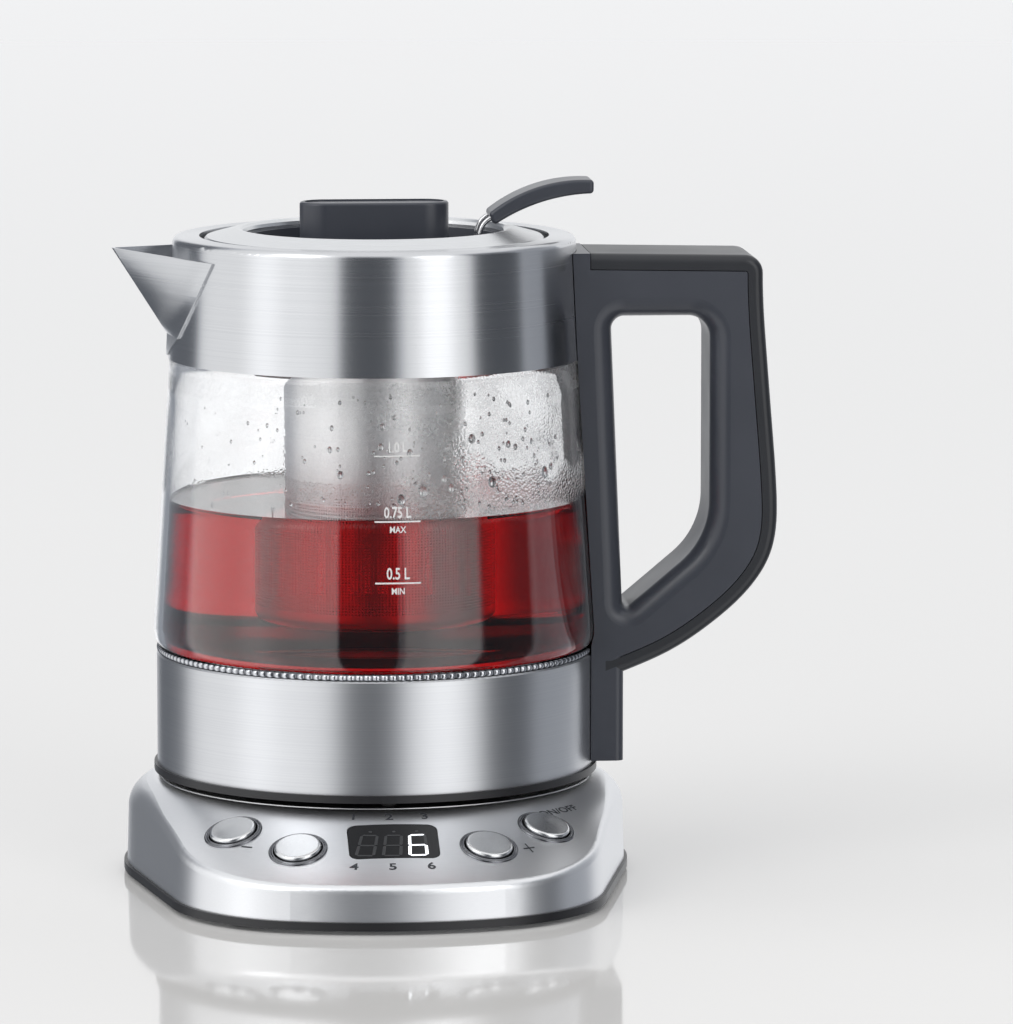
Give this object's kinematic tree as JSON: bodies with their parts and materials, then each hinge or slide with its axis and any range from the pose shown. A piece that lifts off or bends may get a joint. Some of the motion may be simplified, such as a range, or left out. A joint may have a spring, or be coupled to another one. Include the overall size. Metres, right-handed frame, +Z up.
{
  "type": "automatic tea maker",
  "caption": "Glass kettle with a lift-out tea strainer and a loop handle, seated on a steel control base with buttons and a display.",
  "frame": {"origin": "centre of the bounding box's footprint, on the table", "axes": "+Z up, -Y towards the control panel, +X towards the handle, -X towards the spout"},
  "size_m": [0.2048, 0.188, 0.2155],
  "materials": {
    "brushed_steel": "horizontally brushed stainless steel, satin",
    "bright_metal": "polished plated metal",
    "button_metal": "satin metal cap with a polished bevel",
    "dark_plastic": "dark blue-grey moulded plastic, fine satin grain",
    "black_plastic": "black moulded plastic, satin",
    "black_rubber": "soft matt rubber",
    "clear_ring": "clear ribbed ring over bright metal",
    "silicone": "translucent silicone, matt",
    "clear_glass": "clear blown glass, fire-polished",
    "display_black": "smoked black acrylic, gloss",
    "display_cells": "display module casing",
    "circuit_board": "green solder mask",
    "contact_brass": "bare brass contact rings",
    "element_sheath": "heat-tinted metal sheath"
  },
  "bodies": {
    "base": {"base_skin": "brushed_steel", "base_inner_frame": "black_plastic", "base_tray": "black_plastic", "base_feet": "black_rubber", "base_screws": "bright_metal", "button_bezels": "bright_metal", "button_switches": "black_plastic", "switch_boards": "circuit_board", "display_window": "display_black", "display_module": "display_cells", "display_board": "circuit_board", "mains_board": "circuit_board", "power_relay": "black_plastic", "cord_gland": "black_plastic", "connector_body": "black_plastic", "connector_contacts": "contact_brass", "connector_centre_pin": "bright_metal", "connector_bezel": "black_plastic", "connector_washer": "bright_metal", "connector_spring_clip": "bright_metal"},
    "programme_button": {"button_programme": "button_metal"},
    "minus_button": {"button_minus": "button_metal"},
    "plus_button": {"button_plus": "button_metal"},
    "start_button": {"button_start": "button_metal"},
    "coupling": {"coupling_socket": "black_plastic", "socket_contacts": "contact_brass"},
    "kettle": {"kettle_bottom_cover": "black_plastic", "kettle_feet": "black_rubber", "lower_band": "brushed_steel", "heater_plate": "brushed_steel", "lower_seal_ring": "clear_ring", "heating_element": "element_sheath", "temperature_sensor": "element_sheath", "glass_body": "clear_glass", "upper_seal_ring": "silicone", "collar": "brushed_steel", "spout": "brushed_steel", "spout_filter": "brushed_steel", "handle_grip": "dark_plastic", "handle_cover": "dark_plastic", "handle_screws": "bright_metal"},
    "lid": {"lid_ring": "brushed_steel", "lid_liner": "dark_plastic", "lid_seal": "silicone"},
    "strainer": {"strainer_basket": "brushed_steel", "strainer_rim": "brushed_steel", "strainer_handle_wires": "bright_metal", "strainer_grip": "dark_plastic"},
    "strainer_cap": {"strainer_cap": "dark_plastic", "cap_knob": "dark_plastic", "knob_screw": "bright_metal"}
  },
  "joints": [
    {"name": "kettle_lift", "type": "slide", "parent": "base", "child": "coupling", "axis": [0, 0, 1], "range_m": [0, 0.0437]},
    {"name": "kettle_turn", "type": "hinge", "parent": "coupling", "child": "kettle", "pos_m": [-0.02139, 0.0155, 0.0324], "axis": [0, 0, 1], "continuous": true},
    {"name": "lid_lift", "type": "slide", "parent": "kettle", "child": "lid", "axis": [0, 0, 1], "range_m": [0, 0.135]},
    {"name": "strainer_lift", "type": "slide", "parent": "lid", "child": "strainer", "axis": [0, 0, 1], "range_m": [0, 0.135]},
    {"name": "cap_lift", "type": "slide", "parent": "strainer", "child": "strainer_cap", "axis": [0, 0, 1], "range_m": [0, 0.06]},
    {"name": "programme_press", "type": "slide", "parent": "base", "child": "programme_button", "axis": [0.2129, 0.3063, -0.9278], "range_m": [0, 0.001], "stiffness_N_per_m": 800, "springref_m": -0.0005},
    {"name": "minus_press", "type": "slide", "parent": "base", "child": "minus_button", "axis": [0.1196, 0.3533, -0.9278], "range_m": [0, 0.001], "stiffness_N_per_m": 800, "springref_m": -0.0005},
    {"name": "plus_press", "type": "slide", "parent": "base", "child": "plus_button", "axis": [-0.1196, 0.3533, -0.9278], "range_m": [0, 0.001], "stiffness_N_per_m": 800, "springref_m": -0.0005},
    {"name": "start_press", "type": "slide", "parent": "base", "child": "start_button", "axis": [-0.2129, 0.3063, -0.9278], "range_m": [0, 0.001], "stiffness_N_per_m": 800, "springref_m": -0.0005}
  ]
}
